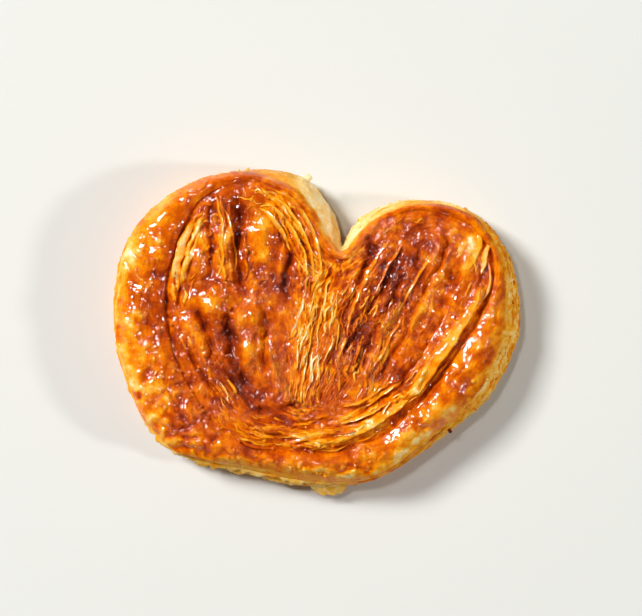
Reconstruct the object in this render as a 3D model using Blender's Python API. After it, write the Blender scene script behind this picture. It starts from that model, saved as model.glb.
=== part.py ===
"""A palmier: a heart-shaped biscuit of rolled puff pastry, baked lying on its cut face under a sugar glaze.

One solid. +Z is up, +X is to the right, +Y runs from the round tip towards the notch between the two lobes.
The origin is under the middle of the bounding box, on the surface that the palmier lies on.
All shape values below are in millimetres.
"""

import bmesh
import bpy
import numpy as np

MM = 0.001

# The widest outline, from the notch round the right lobe, the tip and the left lobe, back to the notch.
OUTLINE = (
    (4.9, 19.4),
    (8.4, 24.6),
    (19.5, 29.2),
    (33.4, 26.8),
    (41.8, 15.2),
    (43.5, 1.0),
    (36.6, -13.4),
    (24.0, -24.6),
    (9.7, -33.2),
    (-12.0, -31.2),
    (-28.4, -26.2),
    (-40.0, -12.6),
    (-44.0, 6.0),
    (-39.2, 22.6),
    (-24.5, 34.2),
    (-8.6, 35.9),
    (1.6, 29.6),
    (4.9, 19.4),
)
CENTRE = (-1.7, 1.0)  # the point below the notch that the whole outline can be seen from

# Fold lines on the cut face, each down the middle of a groove between two turns of the roll.
SEAM = ((4.6, 17.6), (3.2, 12.9), (0.4, 5.4), (-1.9, -3.2), (-3.2, -12.9))
BAND_GROOVE = (
    (-20.6, 31.6),
    (-27.5, 25.6),
    (-31.6, 16.8),
    (-32.8, 7.0),
    (-31.8, -3.0),
    (-27.8, -11.6),
    (-20.6, -18.8),
    (-12.0, -23.2),
    (-1.7, -24.8),
    (9.0, -23.0),
    (18.7, -17.2),
    (26.6, -9.0),
    (32.8, -1.0),
    (36.6, 8.6),
    (36.6, 17.2),
    (32.0, 24.2),
)
LEFT_FOLDS = (
    ((-18.2, 30.6), (-20.6, 25.8), (-21.2, 18.2), (-22.6, 11.8)),
    ((-14.6, 28.8), (-15.2, 22.6), (-16.2, 16.0), (-16.2, 11.4)),
    ((-9.0, 25.8), (-6.6, 18.0), (-6.8, 10.0), (-9.6, -1.0), (-11.2, -12.6)),
    ((-26.4, 1.6), (-22.6, 10.2), (-13.6, 10.6), (-8.6, 12.4)),
    ((-26.8, -4.4), (-21.4, -12.4), (-11.8, -17.4)),
)
RIGHT_FOLDS = (
    ((28.2, 25.0), (25.8, 16.6), (20.2, 7.2), (13.8, -3.0), (8.4, -11.8)),
    ((17.2, 26.2), (11.8, 18.0), (7.8, 8.6), (4.6, -2.0), (2.2, -12.6)),
    ((34.4, 19.6), (33.0, 10.2), (26.4, 0.6), (20.0, -8.4), (11.2, -17.8)),
)

THICKNESS = 15.0  # crest of the outer turn above the table
SHOULDER_WIDTH = 7.0  # how far in from the outline the rounded edge reaches
SHOULDER_DROP = 7.2  # how far that curve would fall by the outline itself
CUT_FACE_INSET = 3.0  # where the wall ends and the cut face starts
WALL = ((0.0, 2.4), (0.7, 1.0), (3.4, 0.0), (7.6, 0.25), (10.9, 1.1))  # (height, inset) up the wall
CENTRE_DIP = 1.3  # how much lower the inner turns lie than the outer one
BAND_WIDTH = 11.0  # breadth of the outer turn
BAND_DEPTH, BAND_SPREAD = 2.6, 2.0  # a groove's depth, and its half-width
SEAM_DEPTH, SEAM_SPREAD = 2.4, 2.0
FOLD_DEPTH, FOLD_SPREAD = 1.7, 1.8
SWELL = ((3, 0.35, 0.6), (5, 0.25, 2.1), (8, 0.15, 4.0))  # (waves round the rim, height, start in radians)

# In the notch the inner walls lean: their foot stands out beyond the cut face by this much more.
LEFT_LEAN, RIGHT_LEAN = 3.0, 1.2
LEAN_REACH = 16.0  # length of wall, from the notch, that the lean fades over

RINGS = 26  # concentric rings of the cut face; the outermost has 8 points for each ring
LINE_STEPS = 12  # points in each span of a fold line
CRUST_COLOUR = (0.62, 0.25, 0.045, 1.0)


def smooth_line(points, steps):
    """Catmull-Rom curve through the points, with steps samples a span, ends included."""
    p = np.array(points, float)
    p = np.vstack([2 * p[0] - p[1], p, 2 * p[-1] - p[-2]])
    t = np.arange(steps)[:, None] / steps
    spans = []
    for a, b, c, d in zip(p[:-3], p[1:-2], p[2:-1], p[3:]):
        spans.append(
            b + 0.5 * t * (c - a)
            + t**2 * (a - 2.5 * b + 2 * c - 0.5 * d)
            + t**3 * (1.5 * (b - c) + 0.5 * (d - a))
        )
    return np.vstack(spans + [p[-2:-1]])


def evenly(line, count):
    """count points at equal steps along a closed line whose last point repeats its first, from that point on."""
    along = np.append(0, np.cumsum(np.linalg.norm(np.diff(line, axis=0), axis=1)))
    at = np.arange(count) / count * along[-1]
    return np.stack([np.interp(at, along, line[:, k]) for k in (0, 1)], axis=1), at, along[-1]


def distance_to(line, points):
    """Shortest distance from each point to a line."""
    start, step = line[:-1], np.diff(line, axis=0)
    away = points[:, None, :] - start[None]
    share = np.clip((away * step).sum(2) / (step**2).sum(1), 0, 1)
    return np.linalg.norm(away - share[..., None] * step, axis=2).min(1)


def inward_normals(ring):
    """Unit normals of a closed clockwise ring, pointing into it."""
    along = np.roll(ring, -1, axis=0) - np.roll(ring, 1, axis=0)
    along /= np.linalg.norm(along, axis=1)[:, None]
    return np.stack([along[:, 1], -along[:, 0]], axis=1)


def notch_lean(at, length):
    """How far each point of the outline leans out at its foot: most beside the notch, more on the left lobe."""
    right = RIGHT_LEAN * np.exp(-((at / LEAN_REACH) ** 2))
    left = LEFT_LEAN * np.exp(-(((length - at) / LEAN_REACH) ** 2))
    return np.maximum(left, right)


def groove(points, line, depth, spread):
    """Height taken off by one groove, in a bell shape across its line."""
    return depth * np.exp(-((distance_to(smooth_line(line, LINE_STEPS), points) / spread) ** 2))


def swell(points):
    """Slow rise and fall of the cut face round the centre, as the pastry puffs unevenly."""
    x, y = (points - CENTRE).T
    turn, reach = np.arctan2(y, x), np.clip(np.hypot(x, y) / BAND_WIDTH, 0, 1)
    return reach * sum(rise * np.sin(waves * turn + start) for waves, rise, start in SWELL)


def cut_face_height(points, outline):
    """Height of the cut face: a rounded edge, a slight dip, and a groove along every fold line."""
    inset = distance_to(outline, points)
    edge = SHOULDER_DROP * np.clip(1 - inset / SHOULDER_WIDTH, 0, 1) ** 2
    dip = CENTRE_DIP * np.clip((inset - BAND_WIDTH / 2) / BAND_WIDTH, 0, 1)
    cuts = [groove(points, BAND_GROOVE, BAND_DEPTH, BAND_SPREAD), groove(points, SEAM, SEAM_DEPTH, SEAM_SPREAD)]
    for fold in LEFT_FOLDS + RIGHT_FOLDS:
        cuts.append(groove(points, fold, FOLD_DEPTH, FOLD_SPREAD))
    return THICKNESS + swell(points) - edge - dip - np.max(cuts, axis=0)


def build_palmier():
    """The closed mesh: concentric rings over the cut face, rings down the wall, and a flat underside."""
    outline = smooth_line(OUTLINE, LINE_STEPS)
    rim_count = 8 * RINGS
    rim, at, length = evenly(outline, rim_count)
    normals = inward_normals(rim)
    lean = notch_lean(at, length)

    mesh = bmesh.new()

    def add_ring(flat, heights):
        return [mesh.verts.new((x * MM, y * MM, z * MM)) for (x, y), z in zip(flat, heights)]

    edge = rim + normals * (CUT_FACE_INSET + lean)[:, None]
    rings = []
    for ring in range(1, RINGS + 1):
        share = np.arange(8 * ring) / (8 * ring) * rim_count
        near = share.astype(int)
        part = (share - near)[:, None]
        on_edge = edge[near] * (1 - part) + edge[(near + 1) % rim_count] * part
        flat = np.array(CENTRE) + (on_edge - CENTRE) * ring / RINGS
        rings.append(add_ring(flat, cut_face_height(flat, outline)))

    middle = np.array([CENTRE])
    top = add_ring(middle, cut_face_height(middle, outline))[0]
    for k in range(8):
        mesh.faces.new((top, rings[0][(k + 1) % 8], rings[0][k]))
    for inner, outer in zip(rings, rings[1:]):
        join_rings(mesh, inner, outer)

    above = rings[-1]
    top_height = WALL[-1][0]
    for height, inset in reversed(WALL):
        flat = rim + normals * (inset + lean * height / top_height)[:, None]
        below = add_ring(flat, np.full(rim_count, height))
        for k in range(rim_count):
            after = (k + 1) % rim_count
            mesh.faces.new((above[k], above[after], below[after], below[k]))
        above = below
    mesh.faces.new(above)
    return mesh


def join_rings(mesh, inner, outer):
    """Triangles between two rings of the cut face, whose sides both start at point 0 and have 8 sides' worth each."""
    i = j = 0
    while i < len(inner) or j < len(outer):
        a, b = inner[i % len(inner)], outer[j % len(outer)]
        if j * len(inner) <= i * len(outer):
            mesh.faces.new((a, outer[(j + 1) % len(outer)], b))
            j += 1
        else:
            mesh.faces.new((a, inner[(i + 1) % len(inner)], b))
            i += 1


def crust():
    """Browned, sugar-glazed puff pastry."""
    material = bpy.data.materials.new("baked_crust")
    material.use_nodes = True
    shader = material.node_tree.nodes["Principled BSDF"]
    shader.inputs["Base Color"].default_value = CRUST_COLOUR
    shader.inputs["Roughness"].default_value = 0.38
    shader.inputs["Metallic"].default_value = 0.0
    return material


def centred(mesh):
    """Moves the mesh so that its bounding box is centred on the Z axis."""
    places = np.array([v.co for v in mesh.verts])
    middle = (places.min(0) + places.max(0)) / 2
    bmesh.ops.translate(mesh, verts=mesh.verts, vec=(-middle[0], -middle[1], 0))


def main():
    for old in list(bpy.data.objects):
        bpy.data.objects.remove(old)
    mesh = build_palmier()
    centred(mesh)
    bmesh.ops.recalc_face_normals(mesh, faces=mesh.faces)
    data = bpy.data.meshes.new("palmier")
    mesh.to_mesh(data)
    mesh.free()
    data.shade_smooth()
    data.materials.append(crust())
    bpy.context.scene.collection.objects.link(bpy.data.objects.new("palmier", data))


main()
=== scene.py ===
"""The looks of the palmier: a heart of rolled puff pastry under cracked, caramelised sugar.

Every length below is in millimetres, on the drawing board's own axes: X to the right, Y from the round tip to
the notch, Z up from the table. place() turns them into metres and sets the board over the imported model.
"""

import bpy
import numpy as np
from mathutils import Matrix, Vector


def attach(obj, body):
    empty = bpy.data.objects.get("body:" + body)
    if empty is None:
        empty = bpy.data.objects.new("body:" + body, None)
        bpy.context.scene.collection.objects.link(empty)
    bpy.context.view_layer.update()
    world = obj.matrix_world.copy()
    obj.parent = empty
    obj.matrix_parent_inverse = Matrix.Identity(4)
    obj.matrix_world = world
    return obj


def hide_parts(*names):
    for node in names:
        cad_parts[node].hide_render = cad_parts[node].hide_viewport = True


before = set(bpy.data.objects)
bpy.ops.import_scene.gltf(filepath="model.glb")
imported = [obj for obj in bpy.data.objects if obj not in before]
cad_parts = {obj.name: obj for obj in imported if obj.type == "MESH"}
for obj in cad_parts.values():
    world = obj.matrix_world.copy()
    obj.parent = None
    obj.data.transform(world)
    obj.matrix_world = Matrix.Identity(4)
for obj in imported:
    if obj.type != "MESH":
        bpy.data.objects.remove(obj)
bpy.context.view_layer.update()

MM = 0.001
BOARD_SHIFT = (0.084, -1.388)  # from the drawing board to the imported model, in X and Y

# Stations round the outer turn, clockwise from the notch. Each gives the rim's widest point, the point of the
# fold that the turn ends in, how far the wall's top stands in from the rim, and how deep the fold is there.
STATIONS = (
    ((5.2, 19.3), (4.7, 15.7), 1.6, 0.6),
    ((7.3, 23.2), (8.6, 17.8), 2.2, 0.1),
    ((10.1, 26.0), (12.0, 22.1), 2.3, 0.1),
    ((14.4, 28.1), (15.9, 24.9), 2.0, 0.1),
    ((19.7, 29.2), (20.4, 26.2), 1.5, 0.15),
    ((25.1, 29.0), (25.1, 26.0), 0.9, 0.3),
    ((30.5, 27.9), (29.4, 24.8), 0.9, 0.5),
    ((36.0, 24.6), (33.4, 22.2), 1.2, 1.1),
    ((41.0, 17.8), (37.4, 16.2), 2.0, 1.8),
    ((43.1, 10.1), (36.7, 8.8), 3.2, 1.9),
    ((43.6, 1.9), (33.8, 2.3), 3.6, 1.3),
    ((41.2, -5.8), (29.8, -3.9), 3.4, 0.9),
    ((36.5, -13.9), (24.2, -11.4), 3.0, 1.2),
    ((29.4, -20.0), (19.5, -16.4), 2.4, 1.3),
    ((21.9, -25.8), (14.4, -20.8), 1.8, 1.2),
    ((13.3, -31.1), (7.9, -24.0), 1.6, 1.0),
    ((5.2, -33.0), (1.5, -25.1), 2.6, 0.9),
    ((-6.0, -32.2), (-6.0, -25.1), 2.8, 0.8),
    ((-14.8, -30.1), (-12.6, -24.2), 2.2, 0.9),
    ((-23.6, -27.9), (-18.2, -21.7), 1.2, 0.6),
    ((-31.2, -24.9), (-23.4, -16.8), 0.5, 0.5),
    ((-36.9, -19.1), (-27.0, -11.4), 0.4, 0.8),
    ((-41.0, -10.6), (-30.3, -5.2), 0.4, 1.4),
    ((-43.4, -1.7), (-32.2, 2.1), 0.4, 2.6),
    ((-43.8, 7.6), (-32.6, 8.8), 0.4, 2.8),
    ((-42.5, 16.4), (-30.9, 16.6), 0.4, 2.6),
    ((-39.0, 23.5), (-28.2, 24.2), 0.4, 2.0),
    ((-33.5, 29.0), (-25.0, 28.9), 0.4, 1.0),
    ((-25.8, 33.6), (-20.6, 31.2), 0.5, 0.4),
    ((-17.0, 35.7), (-14.6, 32.6), 0.8, 0.2),
    ((-8.4, 35.4), (-9.0, 31.6), 2.4, 0.2),
    ((-2.0, 33.4), (-5.4, 29.2), 3.6, 0.3),
    ((2.1, 28.5), (-2.4, 24.4), 3.8, 0.2),
    ((4.3, 23.4), (0.4, 18.6), 3.2, 0.3),
)
RIM, FOLD, LEDGE, FOLD_DEPTH = (np.array([s[k] for s in STATIONS], float) for k in range(4))
LAST_OF_RIGHT_ROLL = 16  # the station at the foot of the seam, which both rolls end at

SEAM = (
    (4.7, 15.7), (3.2, 12.9), (1.5, 9.7), (-0.9, 1.1),
    (-2.6, -7.5), (-3.2, -13.9), (-2.6, -20.0), (-1.5, -25.1),
)
LEFT_SPINE = ((-16.1, 24.2), (-14.6, 15.7), (-12.9, 5.4), (-10.7, -12.2))
RIGHT_SPINE = ((24.0, 20.4), (18.7, 9.7), (11.6, -2.1), (4.3, -14.4))

# Folds of the cut face: (path, depth, half-width, how much darker the syrup in it is).
FURROWS = (
    (((-17.2, 31.1), (-16.7, 26.4), (-17.6, 20.8), (-17.2, 15.7), (-16.0, 9.4)), 1.4, 1.0, 0.16),
    (((-21.9, 29.0), (-22.5, 23.0), (-22.1, 17.2), (-23.6, 10.6)), 1.4, 0.7, 0.18),
    (((-24.4, 10.9), (-21.9, 11.4), (-19.6, 10.8)), 0.9, 0.5, 0.12),
    (((-13.5, 10.2), (-11.6, 10.9), (-9.0, 11.6)), 0.9, 0.5, 0.12),
    (((-7.5, 26.4), (-6.9, 20.8), (-6.0, 15.7), (-7.1, 8.2)), 1.6, 0.7, 0.24),
    (((-18.0, 9.0), (-19.4, 4.0), (-18.4, -1.5), (-16.6, -7.0), (-13.4, -12.8)), 2.2, 1.2, 0.26),
    (((-26.2, 24.2), (-27.9, 18.7), (-29.4, 11.4), (-30.0, 4.4)), 1.3, 0.5, 0.15),
    (((-26.2, 6.9), (-24.0, 0.6), (-20.6, -5.8), (-16.7, -11.8), (-13.3, -15.7)), 1.7, 0.8, 0.2),
    (((-14.2, -14.8), (-10.7, -16.3), (-6.0, -15.5), (-1.6, -16.6)), 1.2, 0.9, 0.2),
    (((-9.9, 29.0), (-8.6, 24.2), (-8.2, 17.3)), 1.0, 0.5, 0.12),
    (((-24.4, 3.0), (-23.6, -1.6), (-22.2, -6.4)), 1.3, 0.7, 0.2),
    (((-11.4, 6.6), (-11.0, 2.6), (-11.8, -3.4), (-10.6, -9.0)), 1.5, 0.8, 0.22),
    (((-28.6, -1.4), (-25.8, -6.8), (-21.6, -12.4), (-17.0, -17.2)), 1.0, 0.5, 0.16),
    (((11.6, 22.1), (10.3, 15.7), (7.3, 7.5), (4.3, -2.1), (1.5, -10.7)), 1.3, 0.7, 0.16),
    (((17.2, 20.4), (14.6, 12.9), (9.4, 3.6), (5.8, -5.4)), 1.4, 0.7, 0.16),
    (((22.4, 21.6), (19.6, 14.4), (15.4, 6.8), (10.8, -2.6), (7.4, -9.6)), 1.3, 0.8, 0.14),
    (((27.9, 23.0), (25.3, 15.7), (21.9, 7.5), (17.2, -2.1), (11.6, -10.7)), 1.2, 0.7, 0.12),
    (((29.4, 15.7), (27.0, 9.2), (25.8, 3.2), (22.7, -3.6), (17.6, -10.7), (11.6, -15.0)), 1.6, 1.3, 0.04),
    (((36.1, 15.7), (33.5, 8.4), (28.8, 1.5), (24.7, -3.6), (21.5, -9.2), (17.2, -13.9)), 0.8, 0.6, 0.10),
    (((19.7, -13.5), (14.4, -16.5), (7.9, -20.8), (2.6, -22.5)), 1.4, 0.5, 0.2),
)
# Leaves that stand up as a ridge: (path, half-width, height, how pale).
LEAF_RIDGES = (
    (((34.6, 9.0), (32.6, 5.8), (27.9, -0.6), (24.0, -6.4), (21.2, -11.4)), 1.0, 1.5, 0.30),
    (((20.2, -12.2), (15.9, -15.7), (10.1, -19.1), (4.3, -22.5), (0.0, -23.8)), 1.1, 1.5, 0.30),
    (((17.6, -10.7), (12.2, -13.5), (5.8, -15.0)), 0.5, 0.8, 0.12),
    (((16.5, -13.9), (10.7, -16.1), (4.7, -17.8)), 0.5, 0.8, 0.12),
    (((-25.1, 24.2), (-26.8, 19.3), (-28.8, 11.8)), 0.6, 1.0, 0.34),
    (((-12.0, 31.1), (-7.1, 26.4), (-4.3, 19.3), (-2.1, 12.9)), 0.5, 0.9, 0.2),
    (((-15.0, -18.2), (-9.2, -20.8), (-1.7, -21.7), (3.6, -20.4)), 0.6, 0.9, 0.2),
    (((-13.5, -20.8), (-7.1, -23.2), (0.4, -23.4)), 0.5, 0.8, 0.2),
    (((-20.8, 29.6), (-20.2, 24.0), (-20.9, 18.0), (-19.7, 11.8)), 0.35, 0.8, 0.16),
    (((-18.9, 28.0), (-19.0, 22.5), (-18.4, 17.0), (-18.8, 12.0)), 0.3, 0.7, 0.1),
    (((-16.0, 22.0), (-15.2, 17.0), (-15.8, 12.0)), 0.3, 0.7, 0.1),
    (((-9.0, 27.0), (-6.8, 22.5), (-4.6, 17.5), (-3.4, 12.5)), 0.35, 0.8, 0.2),
)
# Blisters of the glaze: (x, y, half-width, half-length, turn in degrees, height).
BLISTERS = (
    (-12.2, 21.4, 2.3, 4.6, -20, 1.35),
    (-11.2, 16.4, 1.6, 3.0, 0, 0.8),
    (-19.5, 19.8, 1.2, 7.4, 0, 1.7),
    (-24.8, 17.8, 1.5, 6.0, -12, 1.3),
    (-22.7, 5.8, 2.0, 3.2, -35, 1.25),
    (-13.6, 4.0, 1.9, 4.0, 6, 1.7),
    (-15.2, -2.0, 1.3, 4.6, 17, 1.0),
    (-15.2, -4.8, 1.9, 3.0, -20, 1.15),
    (-16.6, 3.2, 1.5, 2.2, -25, 0.8),
    (-25.7, -1.0, 1.3, 5.4, 22, 1.6),
    (-21.6, -3.9, 1.2, 2.4, 24, 1.4),
    (-19.0, -8.6, 1.0, 3.8, 34, 1.3),
    (-9.8, -5.6, 1.1, 4.2, 12, 1.1),
    (-14.6, 29.0, 3.4, 2.6, 0, 0.9),
    (-20.6, 27.9, 1.3, 3.0, -10, 1.0),
    (-8.0, 14.4, 1.0, 3.6, 0, 0.9),
    (26.4, 20.6, 1.9, 2.8, -25, 1.15),
    (24.5, 14.4, 2.1, 3.0, -20, 1.2),
    (32.0, 13.9, 2.1, 1.7, 0, 1.0),
    (33.0, 19.1, 1.3, 3.0, -20, 0.6),
    (12.6, 14.6, 0.9, 4.6, -30, 1.0),
    (18.6, 11.6, 0.9, 4.6, -28, 0.9),
    (14.6, 2.4, 0.9, 4.4, -30, 0.9),
    (21.4, 4.6, 1.0, 4.2, -28, 1.0),
    (11.4, -5.6, 0.9, 4.0, -30, 0.8),
)
# Where the sugar browned more, or less: (x, y, half-width, half-length, turn in degrees, change of browning).
POOLS = (
    (-16.7, 28.5, 4.2, 2.4, 0, 0.13),
    (-17.0, 24.0, 1.7, 5.0, 0, 0.12),
    (-12.0, 15.7, 3.0, 2.6, 0, 0.10),
    (-20.6, 1.2, 2.6, 2.4, 0, 0.16),
    (-16.8, -10.4, 1.6, 3.4, 30, 0.10),
    (-11.4, -15.0, 4.7, 2.1, 0, 0.08),
    (-7.1, 10.7, 1.7, 2.6, 0, 0.2),
    (-14.6, -3.2, 2.1, 6.4, 10, 0.06),
    (-22.1, 18.2, 2.6, 6.4, 0, -0.10),
    (-12.0, 20.8, 1.7, 4.3, 0, -0.16),
    (-22.7, 4.9, 2.2, 3.0, -35, 0.12),
    (-12.0, 3.6, 1.7, 3.9, 0, -0.12),
    (-27.5, 19.3, 1.1, 6.0, -12, -0.26),
    (-30.9, 12.9, 1.1, 6.4, 0, -0.12),
    (-3.9, 1.1, 3.0, 11.8, -8, -0.12),
    (-9.2, -20.4, 6.4, 2.1, 0, 0.15),
    (-20.6, -8.0, 3.4, 6.0, 30, 0.14),
    (17.0, 10.6, 5.0, 12.5, -28, 0.31),
    (24.6, 9.0, 1.6, 9.0, -30, -0.06),
    (12.2, 18.2, 3.0, 4.3, -30, 0.10),
    (6.9, -3.2, 4.3, 8.6, -20, 0.14),
    (24.0, 13.0, 2.4, 5.0, -20, -0.12),
    (32.6, 18.4, 2.0, 3.8, -15, -0.20),
    (2.6, 1.1, 2.1, 10.7, -15, -0.1),
    (12.2, -22.5, 6.4, 1.7, 20, -0.08),
)
# Where bare leaf edges show instead of glaze, in the same columns; they do so along the seam as well.
FLAKY = (
    (-4.0, -20.5, 13.0, 4.0, 0, 1.0),
    (-5.5, 23.0, 3.0, 9.0, 20, 1.0),
    (6.5, -2.0, 4.5, 15.0, -22, 0.75),
    (12.0, -15.0, 9.0, 3.5, 30, 0.9),
    (-22.0, -9.0, 3.5, 9.0, 35, 0.6),
    (22.0, 24.5, 9.0, 2.0, 0, 0.4),
)
# Where drops of sugar lie thickest, in the same columns.
SYRUP = (
    (-28.0, -14.0, 16.0, 10.0, 40, 0.9),
    (16.0, 8.0, 8.0, 14.0, -28, 1.0),
    (-2.0, -16.0, 7.0, 3.0, 0, 0.8),
    (-17.0, 8.0, 7.0, 19.0, 0, 1.0),
    (0.0, -27.0, 26.0, 4.0, 0, 0.5),
    (-38.0, 10.0, 4.0, 16.0, 0, 0.4),
)

# Where the outer turn is blistered with small bubbles, in the same columns.
BUBBLY = (
    (-30.0, -20.0, 18.0, 14.0, 30, 1.0),
    (0.0, -30.0, 20.0, 5.0, 0, 1.0),
)

MIDDLE = (-1.7, 1.0)  # the point of the underside that its rings shrink to
CREST = 14.6  # height of the outer turn's back
WALL_HEAD = 11.6  # where the shoulder of that back ends, above the wall
ROLL_HEIGHT = 13.4  # height of the rolls' cut face before its folds
CEILING = 15.05  # above this the relief is pressed down
BED = 8.0  # how low the hidden edges of the rolls reach
SLAB = 2.5  # height of the underside's hidden top
NEST = 15.0  # breadth of the leaves between a fold and a roll's spine, as the leaf patterns count it
MELT = 0.9  # how far the edges of a bare leaf take on the colour of the face beside them

# Soft square lamps: (name, watts, side, place), in metres; all shine at AIM.
LAMPS = (
    ("window", 54.0, 0.50, (-1.36, 0.84, 1.56)),
    ("top_lamp", 6.6, 0.16, (-0.44, 0.40, 1.60)),
    ("side_lamp", 11.0, 0.18, (1.50, -0.20, 0.95)),
)
AIM = (0.0, 0.0, 0.01)
LAMP_COLOUR = (1.0, 0.985, 0.96)
ROOM_COLOUR = (1.0, 0.93, 0.80, 1.0)
WALLS_GLOW, CEILING_GLOW = 0.18, 0.075  # brightness of the room, low down and overhead
FLOOR_REACH = 3.0  # from the middle to each side, in metres
CAMERA_PLACE = (0.64, 5.8, 527.0)  # on the drawing board


# ---------------------------------------------------------------- shaping


def smooth_line(points, steps=12, closed=False):
    """Catmull-Rom curve through points, steps samples a span; a closed one leaves its last point out."""
    p = np.array(points, float)
    p = np.vstack([p[-1:], p, p[:2]]) if closed else np.vstack([2 * p[0] - p[1], p, 2 * p[-1] - p[-2]])
    t = (np.arange(steps) / steps)[None, :, None]
    a, b, c, d = (q[:, None] for q in (p[:-3], p[1:-2], p[2:-1], p[3:]))
    curve = b + 0.5 * t * (c - a) + t**2 * (a - 2.5 * b + 2 * c - 0.5 * d)
    curve = (curve + t**3 * (1.5 * (b - c) + 0.5 * (d - a))).reshape(-1, p.shape[1])
    return curve if closed else np.vstack([curve, p[-2]])


def closing(line):
    """A closed line with its first point repeated at its end."""
    return np.vstack([line, line[:1]])


def lengths_along(line):
    """Distance from the first point to each point of a line, measured along it."""
    return np.append(0, np.cumsum(np.linalg.norm(np.diff(line, axis=0), axis=1)))


def evenly(line, count):
    """count points at equal steps along an open line, both ends included."""
    along = lengths_along(line)
    at = np.linspace(0, along[-1], count)
    return np.stack([np.interp(at, along, column) for column in line.T], axis=1)


def unit(dx, dy):
    """The direction of (dx, dy), with length 1."""
    size = np.hypot(dx, dy) + 1e-9
    return dx / size, dy / size


def away_from(line, x, y):
    """Shortest distance from each place (x, y) to a line, segment by segment."""
    nearest = np.full(x.shape, np.inf)
    for (ax, ay), (dx, dy) in zip(line[:-1], np.diff(line, axis=0)):
        share = np.clip(((x - ax) * dx + (y - ay) * dy) / (dx * dx + dy * dy + 1e-12), 0, 1)
        nearest = np.minimum(nearest, (x - ax - share * dx) ** 2 + (y - ay - share * dy) ** 2)
    return np.sqrt(nearest)


def inside_line(line, x, y):
    """Whether places lie inside a closed line, by counting its crossings to their right."""
    odd = np.zeros(x.shape, bool)
    for (ax, ay), (bx, by) in zip(line[:-1], line[1:]):
        crosses = (ay > y) != (by > y)
        odd ^= crosses & (x < (bx - ax) * (y - ay) / (by - ay + 1e-12) + ax)
    return odd


def step_up(value, low, high):
    """0 below low, 1 above high, and an S-curve between them."""
    t = np.clip((value - low) / (high - low), 0, 1)
    return t * t * (3 - 2 * t)


def bell(distance, spread, power=2):
    """1 at no distance, and e to the minus (distance / spread) to that power further off."""
    return np.exp(-((distance / spread) ** power))


def patch(x, y, spot):
    """Bell shape over an ellipse: (x, y, half-width, half-length, turn in degrees)."""
    cx, cy, wide, long, turn = spot[:5]
    c, s = np.cos(np.radians(turn)), np.sin(np.radians(turn))
    across, along = (x - cx) * c + (y - cy) * s, -(x - cx) * s + (y - cy) * c
    return np.exp(-((across / wide) ** 2) - (along / long) ** 2)


def patches(x, y, spots):
    """Sum of such bell shapes, each times the sixth number of its row."""
    return sum(spot[5] * patch(x, y, spot) for spot in spots)


def mottle(x, y, size, seed):
    """Smooth noise from 0 to 1: random values on a lattice of that size, blended by S-curves."""
    table = np.random.default_rng(seed).random((256, 256))
    a, b = x / size + 300.0, y / size + 300.0
    i, j = np.floor(a).astype(int), np.floor(b).astype(int)
    u, v = a - i, b - j
    u, v = u * u * (3 - 2 * u), v * v * (3 - 2 * v)
    low = table[i % 256, j % 256] * (1 - u) + table[(i + 1) % 256, j % 256] * u
    high = table[i % 256, (j + 1) % 256] * (1 - u) + table[(i + 1) % 256, (j + 1) % 256] * u
    return low * (1 - v) + high * v


def patchy(x, y, size, seed, low, high):
    """Noise in patches: 0 where mottle() is under low, 1 where it is over high."""
    return step_up(mottle(x, y, size, seed), low, high)


def crumple(x, y, size, seed, layers):
    """Noise from -1 to 1 with each layer half the size and half the height of the one before."""
    total, weight = 0.0, 0.0
    for k in range(layers):
        turn = 0.6 * k
        rx, ry = x * np.cos(turn) - y * np.sin(turn), x * np.sin(turn) + y * np.cos(turn)
        total = total + 0.5**k * (2 * mottle(rx, ry, size * 0.5**k, seed + 17 * k) - 1)
        weight += 0.5**k
    return total / weight


def wrinkle(x, y, size, seed, layers):
    """Noise up to 1 with sharp crests: one minus twice the size of crumple()."""
    return 1 - np.abs(crumple(x, y, size, seed, layers)) * 2


def sawtooth(count, climb):
    """From 0 to 1 over the first share of each whole count, and slowly back over the rest of it."""
    share = count - np.floor(count)
    return np.where(share < climb, share / climb, 1 - (share - climb) / (1 - climb))


# ---------------------------------------------------------------- the cut face


def wobble(line):
    """The line shaken sideways by uneven waves a few millimetres long."""
    x, y = line.T
    return line + 0.55 * np.stack([crumple(x, y, 4.5, seed, 3) for seed in (12, 13)], axis=1)


FOLD_LINE = wobble(closing(smooth_line(FOLD, closed=True)))  # the fold inside the outer turn
SEAM_LINE = wobble(smooth_line(SEAM))
RIM_LINE = closing(smooth_line(RIM, closed=True))
NEST_SEAM = smooth_line(SEAM[:6])  # the leaves stop following the seam where they turn round its foot
SPINES = [smooth_line(LEFT_SPINE), smooth_line(RIGHT_SPINE)]


def fold_between(first, last):
    """The stretch of the fold line from one station to another, the notch's own station closing the ring."""
    return FOLD_LINE[12 * first : 12 * last + 1]


def nesting(x, y):
    """How deep a place lies in the nest of leaves: 0 on the fold or the seam, 1 on a roll's own spine.

    Below the foot of the seam the leaves lie along the fold alone, one on another like pages."""
    to_fold = away_from(FOLD_LINE, x, y)
    to_edge = np.minimum(to_fold, away_from(SEAM_LINE, x, y))
    to_spine = np.minimum(away_from(SPINES[0], x, y), away_from(SPINES[1], x, y))
    nest = to_edge / (to_edge + to_spine + 1e-6)
    pages = step_up(-y + 2.0 * crumple(x, y, 6.0, 2, 2), 14.0, 15.0)
    return nest * (1 - pages) + pages * to_fold / 13.0


def shingles(x, y, deep, gap, seed):
    """Leaves along the lines of equal nesting: how high a place lies on its leaf, and that leaf's own number.

    The count of leaves down to a place, shaken by noise, gives the leaf; its fraction gives where on it."""
    count = deep * NEST / gap + 1.9 * crumple(x, y, 11.0, seed, 2) + 1.5 * crumple(x, y, 3.2, seed + 5, 3)
    own = np.random.default_rng(seed + 9).random(512)[(np.floor(count).astype(int) + 128) % 512]
    return sawtooth(count, 0.2), own


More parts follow.
